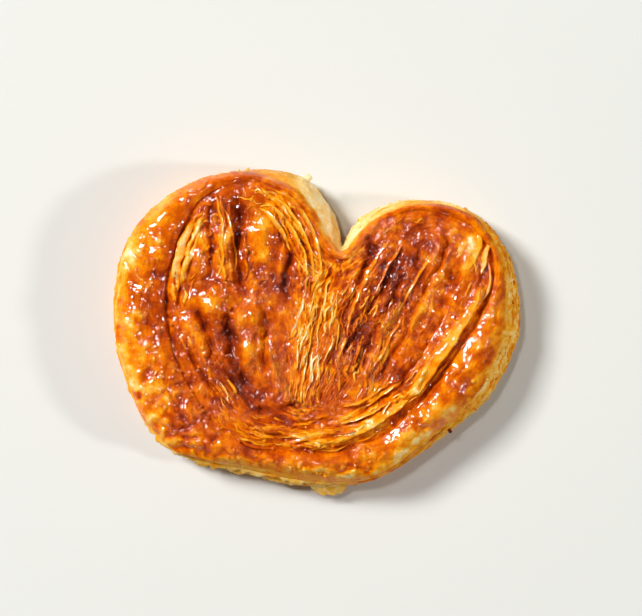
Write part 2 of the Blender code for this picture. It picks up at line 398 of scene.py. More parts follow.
def furrowed(x, y, wave):
    """Height and browning that the furrows and the leaf ridges add.

    A furrow is a dent along its path that fades at both ends, with a thin raised lip beside it whose paler
    colour is a painted highlight. A ridge is a rounded bank along its path. The wave bends both."""
    here = 0.35 + 0.9 * mottle(x, y, 3.2, 10)
    deepest, darkest, lips = 0.0, 0.0, 0.0
    for path, depth, half, dark in FURROWS:
        off = away_from(smooth_line(path), x + wave, y - wave)
        to_end = np.minimum(*(np.hypot(x + wave - end[0], y - wave - end[1]) for end in (path[0], path[-1])))
        fade = here * step_up(to_end, 0.0, 3.0)
        deepest = np.maximum(deepest, depth * bell(off, half, 1.3) * fade)
        darkest = np.maximum(darkest, dark * bell(off, 1.6 * half) * fade)
        lips = np.maximum(lips, 0.34 * bell(off - 1.7 * half, 0.36) * fade)
    height = lips * (0.3 + mottle(x, y, 2.2, 11)) - deepest
    # The lips are painted paler: a painted highlight along the furrows' edges.
    brown = darkest - 0.16 * lips
    for path, half, tall, pale in LEAF_RIDGES:
        bank = bell(away_from(smooth_line(path), x + 0.6 * wave, y - 0.6 * wave), half, 3)
        height = height + tall * bank
        brown = brown - pale * bank
    return height, brown


def flaked(x, y, deep, flaky):
    """Height and browning that bare leaf edges add: broad and thin shingles, and torn threads along them."""
    broad, own = shingles(x, y, deep, 2.3, 21)
    thin, own_thin = shingles(x, y, deep, 1.0, 41)
    show = flaky * patchy(x, y, 4.0, 51, 0.1, 0.6)
    broken = 0.35 + 0.65 * patchy(x, y, 1.7, 52, 0.25, 0.6)
    height = (0.12 + 0.42 * show) * (broad - 0.5) + (0.04 + 0.34 * show) * (thin - 0.5) * broken
    brown = (0.04 + show * broken) * (0.20 * (0.5 - broad) + 0.24 * (0.45 - thin) + 0.26 * (own_thin - 0.62))
    warp = 1.6 * crumple(x, y, 4.0, 61, 3)
    threads = np.clip(wrinkle(deep * NEST + warp, 0.3 * y + 0.15 * x, 1.1, 64, 2), 0, 1)
    torn = flaky * patchy(x, y, 3.0, 62, 0.3, 0.65) * (threads - 0.5)
    return height + 0.4 * show * (own - 0.5) + 0.42 * torn, brown - 0.36 * torn


def face(x, y):
    """Height, browning, glaze and nesting of the cut face at each place.

    Height: a slow swell, blisters up, furrows down, leaf ridges up, shingles and torn threads where the face
    is flaky, and fine crumple everywhere. Browning: 0 is cream and 1 is burnt sugar; it also holds painted
    shade, darker in the hollows of the fine relief, and painted light, paler on its crests."""
    deep = nesting(x, y)
    flaky = np.clip(1.1 * bell(away_from(NEST_SEAM, x, y), 4.6) + patches(x, y, FLAKY), 0, 1)
    glossy = 1 - flaky
    wave = 1.2 * crumple(x, y, 4.5, 8, 3) + 0.34 * crumple(x, y, 1.3, 14, 2)
    detail = 0.30 * crumple(x, y, 4.0, 4, 2) + 0.24 * glossy * crumple(x, y, 1.7, 9, 1)
    detail = detail + 0.08 * crumple(x, y, 1.0, 15, 1)
    folds, fold_brown = furrowed(x, y, wave)
    leaves, leaf_brown = flaked(x, y, deep, flaky)
    height = 0.35 * crumple(x, y, 14.0, 3, 2) + detail + folds + leaves
    brown = 0.64 + 0.14 * crumple(x, y, 7.0, 5, 3) + 0.24 * crumple(x, y, 2.4, 6, 4) + fold_brown + leaf_brown
    # Painted shade and light: darker where the relief called detail is low, paler where it is high.
    brown = brown + patches(x + 0.8 * wave, y - 0.8 * wave, POOLS) - 0.22 * detail
    glassy = 0.0
    for spot in BLISTERS:
        swell = patch(x + 0.6 * wave, y + 0.5 * wave, spot)
        height = height + spot[5] * swell
        brown = brown - 0.19 * swell
        glassy = np.maximum(glassy, step_up(swell, 0.25, 0.7))
    rough = np.maximum(patchy(x, y, 4.0, 74, 0.3, 0.7), patch(x, y, (16.0, 7.0, 9.0, 17.0, -28)))
    grit = (0.03 + 0.23 * rough) * crumple(x, y, 0.95, 71, 2) + 0.07 * flaky * crumple(x, y, 0.6, 72, 1)
    grit = grit * (1 - 0.9 * glassy)
    glaze = np.clip(1.0 - 0.4 * flaky - 0.16 * rough + 0.3 * crumple(x, y, 3.0, 73, 2), 0.1, 1.0)
    # The grit is painted the same way: darker in its hollows, paler on its crests.
    return height + grit, np.clip(brown - 0.7 * grit * glossy, 0, 1), np.maximum(glaze, glassy), deep


# ---------------------------------------------------------------- meshes

FIELDS = ("browning", "glaze", "grain")
NO_TRIANGLES = np.zeros((0, 3), int)


def place(x, y, z):
    """Drawing-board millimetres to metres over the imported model, as one row for each point."""
    return np.stack([x + BOARD_SHIFT[0], y + BOARD_SHIFT[1], z], axis=-1).reshape(-1, 3) * MM


def under_ceiling(z):
    """Heights with what passes the ceiling pressed down to a quarter."""
    return z - 0.75 * np.maximum(z - CEILING, 0)


def grid_faces(rows, columns, wrap_rows=False, wrap_columns=True):
    """Corner numbers of the quads of a grid whose points run along its columns first."""
    r = np.arange(rows if wrap_rows else rows - 1)
    c = np.arange(columns if wrap_columns else columns - 1)
    r, c = (q.ravel() for q in np.meshgrid(r, c, indexing="ij"))
    up, on = (r + 1) % rows, (c + 1) % columns
    return np.stack([r * columns + c, up * columns + c, up * columns + on, r * columns + on], axis=1)


def fan(ring, middle):
    """Triangles from each side of a closed ring of point numbers to one middle point."""
    return np.stack([ring, np.roll(ring, -1), np.full(len(ring), middle)], axis=1)


def repeated(faces, count, size):
    """The faces of one shape of that many points, repeated for count such shapes."""
    return (np.arange(count)[:, None, None] * size + faces[None]).reshape(-1, faces.shape[1])


def strip_faces(count, samples, sides):
    """Quads and triangles of closed strips, each of samples sections with so many sides, its ends filled."""
    k = np.arange(1, sides - 1)
    first = np.stack([0 * k, k, k + 1], axis=1)
    last = first[:, [0, 2, 1]] + (samples - 1) * sides
    faces = grid_faces(samples, sides), np.vstack([first, last])
    return (repeated(part, count, samples * sides) for part in faces)


def around(top, low):
    """Values round a strip's sections: those of its upper side, and those of its lower side the other way."""
    return np.concatenate([top, low[..., ::-1]], axis=-1)


def outward(points, quads, triangles):
    """The faces of a closed piece, all turned over if the volume they enclose comes out negative."""
    a, b, c = points[np.vstack([quads[:, :3], quads[:, [0, 2, 3]], triangles]).T]
    if (a * np.cross(b, c)).sum() < 0:
        return quads[:, ::-1], triangles[:, ::-1]
    return quads, triangles


def make_piece(name, points, quads, triangles, material, browning, glaze=0.25, grain=0.0):
    """One mesh object from arrays of points and faces, with the three fields of the crust at its points."""
    quads, triangles = outward(points, quads, triangles)
    mesh = bpy.data.meshes.new(name)
    corners = np.concatenate([quads.ravel(), triangles.ravel()]).astype(np.int32)
    sizes = np.concatenate([np.full(len(quads), 4), np.full(len(triangles), 3)])
    mesh.vertices.add(len(points))
    mesh.vertices.foreach_set("co", points.astype(np.float32).ravel())
    mesh.loops.add(len(corners))
    mesh.loops.foreach_set("vertex_index", corners)
    mesh.polygons.add(len(sizes))
    mesh.polygons.foreach_set("loop_start", np.append(0, np.cumsum(sizes)[:-1]).astype(np.int32))
    mesh.update(calc_edges=True)
    mesh.validate()
    mesh.shade_smooth()
    for field, values in zip(FIELDS, (np.clip(browning, 0, 1), glaze, grain)):
        layer = mesh.attributes.new(field, "FLOAT", "POINT")
        layer.data.foreach_set("value", np.resize(np.asarray(values, np.float32), len(points)))
    mesh.materials.append(material)
    piece = bpy.data.objects.new(name, mesh)
    bpy.context.scene.collection.objects.link(piece)
    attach(piece, "root")
    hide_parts("palmier")


def closed_mound(name, material, x, y, z, browning, glaze, grain, bed):
    """A closed piece from rings that shrink to one point, which the last row repeats.

    The outermost ring is repeated at the height of the bed, and a fan to the middle closes it there."""
    columns = x.shape[1]
    x, y, z, browning, glaze, grain = (
        np.concatenate([field[0], field[:-1].ravel(), field[-1, :1], field[-1, :1]])
        for field in (x, y, z, browning, glaze, grain)
    )
    z[:columns] = bed
    z[-1] = bed
    rings = len(x) // columns
    last = (rings - 1) * columns + np.arange(columns)
    triangles = np.vstack([fan(last, len(x) - 2)[:, ::-1], fan(np.arange(columns), len(x) - 1)])
    make_piece(name, place(x, y, z), grid_faces(rings, columns), triangles, material, browning, glaze, grain)


# ---------------------------------------------------------------- the outer turn

TURN_COLUMNS = 1300
TURN_TOP_ROWS = 44
TURN_WALL_ROWS = 22
# The wall's profile: (height, share of the ledge that it stands in from the rim).
WALL = ((11.2, 1.0), (8.6, 0.42), (5.6, 0.08), (3.2, 0.0), (1.4, 0.12), (0.45, 0.4), (0.0, 0.9))
UNDER_ROWS = np.array([[0.0], [0.15], [5.0]])  # heights of the hidden rows that close the ring


def outer_turn(material):
    """The turn of dough that wraps both rolls: a closed ring. Returns x, y, z and browning over its back.

    Each cross-section starts low in the fold, climbs over a rounded lip, crosses the back of the turn, rounds
    over the shoulder at the ledge, bulges to the rim, tucks in at the table and closes under the rolls."""
    table = closing(smooth_line(np.column_stack([RIM, FOLD, LEDGE, FOLD_DEPTH]), 24, closed=True))
    along = lengths_along(table[:, :2])
    at = np.arange(TURN_COLUMNS) / TURN_COLUMNS * along[-1]
    table[:, 2:4] = wobble(table[:, 2:4])
    rim_x, rim_y, fold_x, fold_y, ledge, depth = (np.interp(at, along, column) for column in table.T)
    way_x, way_y = unit(np.roll(rim_x, -2) - np.roll(rim_x, 2), np.roll(rim_y, -2) - np.roll(rim_y, 2))
    nicks = np.clip(wrinkle(rim_x, rim_y, 2.2, 83, 2) - 0.55, 0, 1) * patchy(rim_x, rim_y, 6.0, 84, 0.3, 0.6)
    shake = 0.28 * crumple(rim_x, rim_y, 4.4, 82, 2) + 0.225 * nicks
    rim_x, rim_y = rim_x + way_y * shake, rim_y - way_x * shake
    inset = ledge + 0.35 * crumple(rim_x, rim_y, 5.0, 81, 3)
    wide_x, wide_y = rim_x + way_y * inset - fold_x, rim_y - way_x * inset - fold_y

    across = np.linspace(0, 1, TURN_TOP_ROWS)[:, None]
    x = fold_x + wide_x * across
    y = fold_y + wide_y * across
    width = np.hypot(wide_x, wide_y)
    inside = across * width
    outside = (1 - across) * width
    uneven = 0.45 + 0.9 * mottle(x, y, 6.0, 85)
    lip = depth * uneven * (0.45 * bell(inside, 0.7, 1.5) + 0.4 * bell(inside, 3.2))
    shoulder = (CREST - WALL_HEAD) * np.clip(1 - outside / np.minimum(5.5, width * 0.8), 0, 1) ** 2.2
    relief, brown, glaze = turn_relief(x, y, inside, outside)
    # Painted shade: the back darkens beside the fold, the more the deeper the fold is.
    brown = brown + 0.10 * uneven * bell(inside, 3.4) * np.clip(depth / 2.5, 0, 1)

    # Towards a shallow fold the back levels out into the cut face and takes on its colour.
    face_height, face_brown = face(x, y)[:2]
    shallow = np.clip(1 - depth / 0.8, 0, 1)
    steep = np.clip(depth / 2.6, 0, 1)
    level = bell(inside, 1.4 + 0.6 * shallow) * (1 - 0.85 * steep)
    reach = np.maximum(1.9 + 0.8 * shallow + 1.6 * crumple(x, y, 1.8, 86, 3), 0.3)
    same = bell(inside, reach) * (1 - 0.6 * steep)
    z = under_ceiling((CREST - lip - shoulder + relief) * (1 - level) + (ROLL_HEIGHT + face_height) * level)
    z = z - 2.2 * (0.1 + 0.9 * np.clip(depth / 2.0, 0, 1)) * np.clip(1 - inside / 0.35, 0, 1)
    brown = brown * (1 - same) + face_brown * same
    back = np.stack([field[2:-2, ::2] for field in (x, y, z, brown)], axis=-1).reshape(-1, 4)

    down = np.linspace(0, 1, TURN_WALL_ROWS)[1:, None]
    knots = np.linspace(0, 1, len(WALL))
    wall_z, share = (np.interp(down, knots, column) for column in np.array(WALL).T)
    wall_z = wall_z + (z[-1] - WALL[0][0]) * (1 - down) ** 2 - 0.15 * down * (1 - down)
    creases = 0.20 * crumple(at * 0.3, wall_z * 1.6, 2.0, 91, 2)
    creases = creases + 0.26 * crumple(at, wall_z * 1.5, 2.4, 92, 3)
    toasted = step_up(rim_x, 18.0, 36.0) * (rim_y < 22.0)
    creases = creases + toasted * 0.6 * (wrinkle(at, wall_z, 1.5, 93, 3) - 0.5)
    wall_inset = inset * share + creases * np.sin(np.pi * np.clip(down * 1.02, 0, 1)) ** 0.5
    wall_x, wall_y = rim_x + way_y * wall_inset, rim_y - way_x * wall_inset
    wall_brown, wall_glaze = wall_colour(rim_x, rim_y, wall_z, down)

    foot_x, foot_y = wall_x[-1], wall_y[-1]
    x = np.vstack([x, wall_x, foot_x + way_y * 3.0, foot_x + way_y * 5.0, fold_x * 0.7 + foot_x * 0.3])
    y = np.vstack([y, wall_y, foot_y - way_x * 3.0, foot_y - way_x * 5.0, fold_y * 0.7 + foot_y * 0.3])
    under = UNDER_ROWS + np.zeros(TURN_COLUMNS)
    make_piece(
        "outer_turn", place(x, y, np.vstack([z, wall_z, under])),
        grid_faces(len(x), TURN_COLUMNS, wrap_rows=True), NO_TRIANGLES, material,
        browning=np.vstack([brown, wall_brown, 0 * under + 0.5]),
        glaze=np.vstack([glaze, wall_glaze, 0 * under + 0.3]),
        grain=np.vstack([inside, wall_z + 20, 0 * under]),
    )
    return back


def turn_relief(x, y, inside, outside):
    """Relief, browning and glaze of the turn's back: loose sheets that end in ledges, pillows and crackle."""
    bubbly = np.clip(patches(x, y, BUBBLY), 0, 1)
    calm = patch(x, y, (36.0, -4.0, 6.0, 10.0, -30))
    sheet = inside / 3.2 + 1.8 * crumple(x, y, 10.0, 108, 2) + 0.8 * crumple(x, y, 3.5, 109, 3)
    here = patchy(x, y, 5.0, 110, 0.3, 0.7) * (1 - 0.7 * calm)
    pillows = np.clip(1.0 - wrinkle(x, y, 2.3, 103, 2), 0, 1) - 0.35
    detail = (0.10 + 0.55 * bubbly) * pillows
    detail = detail + 0.40 * crumple(x, y, 3.6, 102, 2) + 0.14 * crumple(x, y, 1.5, 114, 1)
    detail = detail * (1 - 0.4 * calm) + 0.36 * here * (sawtooth(sheet, 0.15) - 0.5)
    crinkled = patchy(x, y, 3.6, 120, 0.42, 0.72)
    grit = (0.04 + 0.10 * bubbly + 0.12 * crinkled) * crumple(x, y, 0.95, 104, 2)
    relief = (0.6 * crumple(x, y, 7.0, 101, 2) + detail + grit) * step_up(outside, -0.3, 1.0)

    brown = 0.47 + 0.16 * crumple(x, y, 6.0, 105, 3) + 0.22 * crumple(x, y, 2.2, 106, 4)
    brown = brown + 0.10 * step_up(-x, 5.0, 20.0) * bell(inside, 3.6) - 0.03 * step_up(-x, 36.0, 43.0)
    brown = brown - 0.12 * step_up(inside, 5.0, 9.0) * step_up(y, -8.0, 4.0) + 0.04 * step_up(x, 10.0, 24.0)
    streaks = wrinkle(0.7 * (x - y), 0.126 * (x + y), 1.6, 118, 2)
    brown = brown + calm * (0.22 * (streaks - 0.45) - 0.06) - 0.10 * patch(x, y, (20.0, -20.0, 8.0, 2.5, 35))
    notch = patch(x, y, (14.0, 27.0, 12.0, 3.0, 20)) + patch(x, y, (-1.0, 29.0, 4.0, 9.0, 25))
    crust = patch(x, y, (-37.5, -13.0, 3.2, 9.0, 38)) * patchy(x, y, 2.6, 113, 0.45, 0.62)
    bald = patchy(x, y, 1.9, 119, 0.66, 0.80) * (patch(x, y, (20.0, -22.0, 22.0, 5.0, 38)) + 0.5 * bubbly)
    bare = np.clip(step_up(-y, 16.0, 26.0) + 1.4 * notch, 0, 1) * (1 - step_up(outside, 0.8, 3.4))
    # Painted shade and light: darker in the hollows of the relief and its grit, paler on their crests.
    brown = brown - 0.24 * detail - 0.7 * grit + 0.15 * bubbly
    brown = brown - 0.14 * np.clip(notch, 0, 1) - 0.22 * crust - 0.16 * bald - 0.14 * bare

    toasted = step_up(x, 22.0, 34.0) * (1 - step_up(outside, 1.0, 3.5))
    relief = relief + toasted * 0.3 * (wrinkle(x, y, 1.2, 115, 2) - 0.4)
    brown = brown + toasted * (0.16 * crumple(x, y, 1.4, 116, 2) - 0.06)
    glaze = np.clip(0.97 - 0.10 * crinkled + 0.25 * crumple(x, y, 3.0, 107, 2), 0.2, 1)
    return relief, brown, glaze * (1 - 0.85 * bare) * (1 - 0.85 * toasted)


def wall_colour(rim_x, rim_y, wall_z, down):
    """Browning and glaze of the wall: cream in the notch and at the tip, gold on the left, dull at the right.
    It is paler at the right as painted light on the side turned from the lamps, and the notch's cream is
    partly the dough's own colour and partly painted light.

    down is 0 at the top of the wall and 1 at the table."""
    beside_notch = 1.6 * patch(rim_x, rim_y, (2.0, 26.0, 7.0, 11.0, 20))
    notch = np.clip(beside_notch + 0.45 * patch(rim_x, rim_y, (14.0, 28.0, 12.0, 4.0, 0)), 0, 1)
    below = np.clip(1.3 * patch(rim_x, rim_y, (-10.0, -31.0, 15.0, 4.0, 15)), 0, 1)
    left = step_up(-rim_x, 30.0, 42.0)
    right = step_up(rim_x, 25.0, 40.0)
    round_rim = rim_x - rim_y
    speck = crumple(round_rim, wall_z * 1.5 + rim_y * 0.3, 2.0, 111, 3)
    speck = speck + 0.9 * right * crumple(round_rim, wall_z * 1.2, 0.9, 117, 2)
    # Painted light: the right wall and the notch wall are made paler than the dough alone would be, where
    # they face away from the lamps.
    brown = 0.33 - 0.18 * right + 0.10 * left - 0.26 * notch - 0.04 * below + 0.12 * speck * (1 - 0.7 * notch)
    brown = brown + 0.08 * (1 - down) * (1 - 0.6 * notch)
    glaze = 0.45 + 0.35 * left - 0.42 * right - 0.36 * notch - 0.3 * below
    return brown, np.clip(glaze, 0.02, 1) + 0 * brown


# ---------------------------------------------------------------- the two rolls and the underside


def roll(name, edge, pole, material, columns=740, rings=126):
    """One lobe's roll: rings that shrink from its edge to its pole, on the cut face's relief.

    The outermost rings turn down into the folds."""
    loop = evenly(edge, columns + 1)[:-1]
    share = (np.arange(rings, -1, -1) / rings)[:, None] * 1.025
    x, y = (pole[k] + (loop[:, k] - pole[k]) * share for k in (0, 1))
    height, brown, glaze, deep = face(x, y)
    into = np.where(share > 1, 0, away_from(closing(loop), x, y))
    drop = 0.5 * fold_depth_at(loop) * bell(into, 0.8, 1.5)
    z = under_ceiling(ROLL_HEIGHT + height - drop)
    z[0] -= 1.5
    # Painted shade: the face darkens where it drops into the fold.
    closed_mound(name, material, x, y, z, brown + 0.04 * drop, glaze, deep * NEST, BED)


def fold_depth_at(loop):
    """Depth of the fold at each point of a roll's outline: the turn's own, and the seam's along the seam."""
    line = smooth_line(np.column_stack([FOLD, FOLD_DEPTH]), closed=True)
    line[:, :2] = wobble(line[:, :2])
    gap = np.hypot(loop[:, 0][:, None] - line[:, 0], loop[:, 1][:, None] - line[:, 1])
    seam = step_up(loop[:, 1], -14.0, -9.0)
    return np.where(gap.min(1) < 0.8, line[gap.argmin(1), 2], seam)


def underside(material, columns=520, rings=70):
    """The other cut face, pressed flat on the tray: a closed slab with shallow grooves along the leaves."""
    outline = evenly(RIM_LINE, columns + 1)[:-1]
    share = np.append(np.linspace(1, 1 / rings, rings), 0)[:, None] * 0.955
    x, y = (MIDDLE[k] + (outline[:, k] - MIDDLE[k]) * share for k in (0, 1))
    deep = nesting(x, y)
    rise, own = shingles(x, y, deep, 2.4, 121)
    z = 0.35 * (1 - rise) * patchy(x, y, 5.0, 122, 0.2, 0.6) + 0.06 * (1 + crumple(x, y, 2.0, 123, 2))
    brown = 0.42 + 0.15 * crumple(x, y, 8.0, 124, 3) - 0.2 * (rise - 0.5) + 0.08 * (own - 0.5)
    closed_mound("underside", material, x, y, np.clip(z, 0, 1), brown, 0 * z + 0.25, deep * NEST, SLAB)


# ---------------------------------------------------------------- leaf edges, shards and sugar


def beside(line, offsets, begin, extent, samples):
    """Lines that run beside a line at given distances to its right, each over its own stretch of it, and the
    directions to the right at their points.

    Rows are lines; a stretch is given by where it begins and how long it is, as shares of the whole."""
    along = lengths_along(line)
    at = np.clip(begin[:, None] + extent[:, None] * np.linspace(0, 1, samples), 0, 1) * along[-1]
    x, y = (np.interp(at, along, column) for column in line.T)
    ahead = np.clip(at + 0.6, 0, along[-1])
    back = np.clip(at - 0.6, 0, along[-1])
    dx, dy = unit(*(np.interp(ahead, along, column) - np.interp(back, along, column) for column in line.T))
    return x + dy * offsets, y - dx * offsets, dy, -dx


def ribbons(name, material, x, y, half, lifts, tints, belly, seed, across, pointed):
    """Bare leaves lying on the cut face, one for each row of x and y: closed strips wedged into the face.

    half is the half-width of each; lifts are the heights of its left and right edges over the face; tints the
    browning of those edges; belly how much its middle bulges; a higher pointed draws its ends out more."""
    count, samples = x.shape
    dx, dy = unit(np.gradient(x, axis=1), np.gradient(y, axis=1))
    taper = np.sin(np.pi * np.clip(np.linspace(0, 1, samples), 0.004, 0.996)) ** pointed
    base = ROLL_HEIGHT + face(x, y)[0]
    for _ in range(4):
        padded = np.hstack([base[:, :1], base, base[:, -1:]])
        base = (padded[:, :-2] + padded[:, 1:-1] + padded[:, 2:]) / 3
    u = np.linspace(-1, 1, across)
    wide = half * taper * (1 + 0.35 * crumple(x, y, 2.6, seed, 3))
    flat_x = x[..., None] + (dy * wide)[..., None] * u
    flat_y = y[..., None] - (dx * wide)[..., None] * u
    taper = taper[:, None]
    lift, tint = ((a[..., None] * (1 - u) + b[..., None] * (1 + u)) / 2 for a, b in (lifts, tints))
    top = base[..., None] + lift * taper - 0.35 * (1 - taper) + belly * (1 - u**2) * taper
    top = under_ceiling(top + 0.12 * crumple(flat_x, flat_y, 1.9, seed + 3, 1))
    own = np.clip(1.25 - MELT * np.abs(u) ** 2.5 - (1 - taper), 0, 1)
    tint = tint + 0.16 * crumple(flat_x, flat_y, 2.2, seed + 7, 3)
    tint = tint * own + face(flat_x, flat_y)[1] * (1 - own)
    points = place(around(flat_x, flat_x), around(flat_y, flat_y), around(top, top - 0.25 - 0.75 * taper))
    grain = np.repeat(3.7 * np.arange(count), samples * 2 * across)
    faces = strip_faces(count, samples, 2 * across)
    make_piece(name, points, *faces, material, around(tint, tint), 0.9, grain)


# Smooth bare leaves: (path, half-width, lift of its left edge, of its right edge, browning there, and there).
BARE_LEAVES = (
    (((35.4, 9.4), (33.0, 5.8), (30.6, 2.4), (28.0, -1.6),
      (25.8, -4.8), (23.8, -7.6), (21.9, -10.6), (20.2, -12.8)),
     1.2, 0.5, 0.0, 0.28, 0.44),
    (((31.6, 9.4), (29.2, 5.4), (27.0, 1.4), (24.6, -2.6), (21.8, -6.4), (19.6, -9.0)),
     1.2, 0.2, -0.3, 0.50, 0.54),
    (((19.7, -13.3), (16.5, -15.7), (13.3, -17.6), (9.4, -20.0), (6.2, -21.5), (3.6, -22.7)),
     0.9, 0.6, 0.0, 0.24, 0.38),
    (((34.8, 22.0), (34.0, 18.8), (32.4, 15.6), (30.2, 13.4)), 1.0, 0.1, -0.1, 0.27, 0.38),
    (((31.8, 20.8), (30.6, 18.6), (29.2, 16.2)), 0.7, 0.25, 0.0, 0.26, 0.38),
    (((36.2, 20.2), (35.8, 16.6), (34.4, 13.0)), 0.6, 0.5, 0.1, 0.22, 0.34),
    (((-26.2, 24.8), (-28.0, 21.4), (-29.2, 18.2), (-30.2, 14.2), (-30.5, 10.4), (-30.2, 6.8)),
     0.95, -0.1, 0.3, 0.28, 0.16),
    (((-24.6, 23.4), (-25.8, 20.0), (-27.2, 16.6), (-28.6, 13.2), (-29.2, 9.8)), 0.5, 0.1, 0.4, 0.34, 0.14),
    (((-21.9, 30.6), (-21.2, 27.0), (-20.4, 23.5), (-20.8, 19.6), (-20.4, 15.4), (-21.8, 11.6)),
     0.42, 0.7, 0.2, 0.26, 0.42),
    (((-20.6, 28.0), (-18.9, 24.4), (-18.4, 20.8), (-17.6, 16.8), (-17.9, 12.4)),
     0.35, 0.6, 0.2, 0.36, 0.46),
    (((-12.0, 29.0), (-8.2, 26.2), (-5.4, 22.1), (-3.2, 17.8), (-2.6, 12.9)), 0.5, 0.6, 0.1, 0.20, 0.38),
    (((-9.9, 29.8), (-6.0, 26.6), (-3.2, 22.1), (-1.5, 17.2), (-1.1, 11.8)), 0.45, 0.5, 0.1, 0.22, 0.40),
    (((-12.9, 27.5), (-9.9, 25.3), (-7.3, 21.2), (-5.6, 17.2)), 0.5, 0.6, 0.2, 0.18, 0.38),
    (((-8.2, 31.1), (-4.3, 27.7), (-1.5, 23.0), (0.2, 18.2), (0.4, 12.9)), 0.45, 0.5, 0.1, 0.24, 0.42),
    (((-11.2, 32.0), (-6.9, 29.8), (-3.0, 25.8), (-0.4, 20.8), (1.3, 15.7)), 0.4, 0.4, 0.1, 0.30, 0.44),
    (((15.6, 20.8), (12.8, 16.7), (9.8, 11.4), (7.4, 5.4), (5.6, -1.0)), 0.5, 0.5, 0.1, 0.42, 0.54),
    (((19.4, 21.4), (16.4, 17.0), (13.6, 12.0), (11.6, 8.0)), 0.35, 0.4, 0.1, 0.48, 0.58),
    (((25.1, 18.2), (21.9, 13.9), (19.7, 9.6), (17.6, 5.8)), 0.4, 0.5, 0.1, 0.46, 0.56),
    (((18.2, 4.4), (15.6, -0.4), (12.6, -5.4), (9.8, -9.0)), 0.4, 0.5, 0.1, 0.46, 0.56),
    (((14.4, -10.7), (10.1, -13.5), (5.2, -15.4)), 0.4, 0.6, 0.1, 0.36, 0.50),
    (((18.2, -9.4), (13.1, -12.9), (7.7, -16.5)), 0.4, 0.6, 0.1, 0.36, 0.48),
    (((15.4, -14.2), (9.2, -17.2), (3.0, -19.3)), 0.45, 0.7, 0.1, 0.28, 0.44),
)


def bare_leaves(material, samples=70):
    """The few broad leaves that lie bare and smooth on the cut face."""
    lines = np.stack([evenly(smooth_line(leaf[0]), samples) for leaf in BARE_LEAVES])
    x, y = lines[..., 0], lines[..., 1]
    x, y = x + 0.45 * crumple(x, y, 2.8, 335, 3), y + 0.45 * crumple(x, y, 2.8, 336, 3)
    half, left, right, pale, paler = np.array([leaf[1:] for leaf in BARE_LEAVES]).T[..., None]
    ribbons("bare_leaves", material, x, y, half, (left, right), (pale, paler), 0.12, 331, 9, 0.4)


# Narrow leaf edges: (line, count, least and most distance to its right, longest share of it, browning,
# half-width).
LEAF_EDGES = (
    (SEAM_LINE[: 5 * 12], 36, -3.8, 4.4, 0.36, 0.26, 0.26),
    (SEAM_LINE[: 5 * 12], 62, -16.0, -4.0, 0.34, 0.46, 0.42),
    (fold_between(6, 17), 26, 0.8, 5.5, 0.20, 0.38, 0.34),
    (fold_between(14, 21), 44, 0.4, 7.5, 0.3, 0.46, 0.34),
    (fold_between(20, 28), 18, 1.4, 5.6, 0.12, 0.44, 0.40),
    (fold_between(1, 8), 6, 0.0, 3.0, 0.16, 0.52, 0.22),
    (fold_between(28, len(STATIONS)), 34, 0.2, 5.5, 0.20, 0.36, 0.26),
)


def leaf_edges(material, samples=22):
    """Narrow edges of leaves that stand out of the cut face beside the seam and the fold."""
    random = np.random.default_rng(301)
    t = np.linspace(0, 1, samples)
    rows = []
    for line, count, low, high, longest, brown, broad in LEAF_EDGES:
        offset = random.uniform(low, high, count)[:, None]
        extent = random.uniform(0.35, 1.0, count) * longest
        begin = random.uniform(0.0, 1.0, count) * (1 - extent)
        wander = 0.0
        for size, slowest, fastest in ((0.4, 3, 8), (0.1, 10, 18)):
            waves = t * random.uniform(slowest, fastest, (count, 1))
            wander = wander + size * np.sin(waves + random.uniform(0, 6, (count, 1)))
        x, y, right_x, right_y = beside(line, offset, begin, extent, samples)
        tint = random.normal(brown, 0.09, (count, 1))
        half = broad * random.uniform(0.5, 1.3, (count, 1))
        rows.append((x + wander * right_x, y + wander * right_y, tint, half))
    x, y, tint, half = (np.vstack(column) for column in zip(*rows))
    lean = random.uniform(-0.4, 0.5, half.shape)
    lifts = (0.12 + lean * 0.6, 0.12 - lean * 0.5)
    ribbons("leaf_edges", material, x, y, half, lifts, (tint - 0.08, tint + 0.08), 0.06, 341, 4, 0.6)


def shards(name, material, spots, way, sizes, tilt, brown, seed, samples=7):
    """Torn scraps of leaf: each a thin closed tongue from its spot along its way, narrowing and curling."""
    random = np.random.default_rng(seed)
    count = len(spots)
    t = np.linspace(0, 1, samples)
    long, wide = sizes[:, :1], sizes[:, 1:2]
    bend = random.normal(0, 0.25, (count, 1)) * t**2 * long
    half = wide * 0.5 * (1 - 0.3 * t**2) * (1 + 0.3 * random.uniform(-1, 1, (count, samples)))
    half[:, -1] *= 0.6
    rise = tilt[:, None] * long * t + random.normal(0, 0.12, (count, 1)) * long * t**2
    reach = (long * t)[..., None]
    sideways = bend[..., None] + half[..., None] * np.array((-1, 1, 1, -1))
    start_x, start_y, start_z = spots.T[:, :, None, None]
    way_x, way_y = way.T[:, :, None, None]
    x = start_x + way_x * reach - way_y * sideways
    y = start_y + way_y * reach + way_x * sideways
    z = start_z + rise[..., None] + 0.04 * np.array((-1, -1, 1, 1))
    tint = brown[:, None, None] + random.normal(0, 0.04, (count, samples, 1)) + np.zeros(4)
    make_piece(name, place(x, y, z), *strip_faces(count, samples, 4), material, tint)


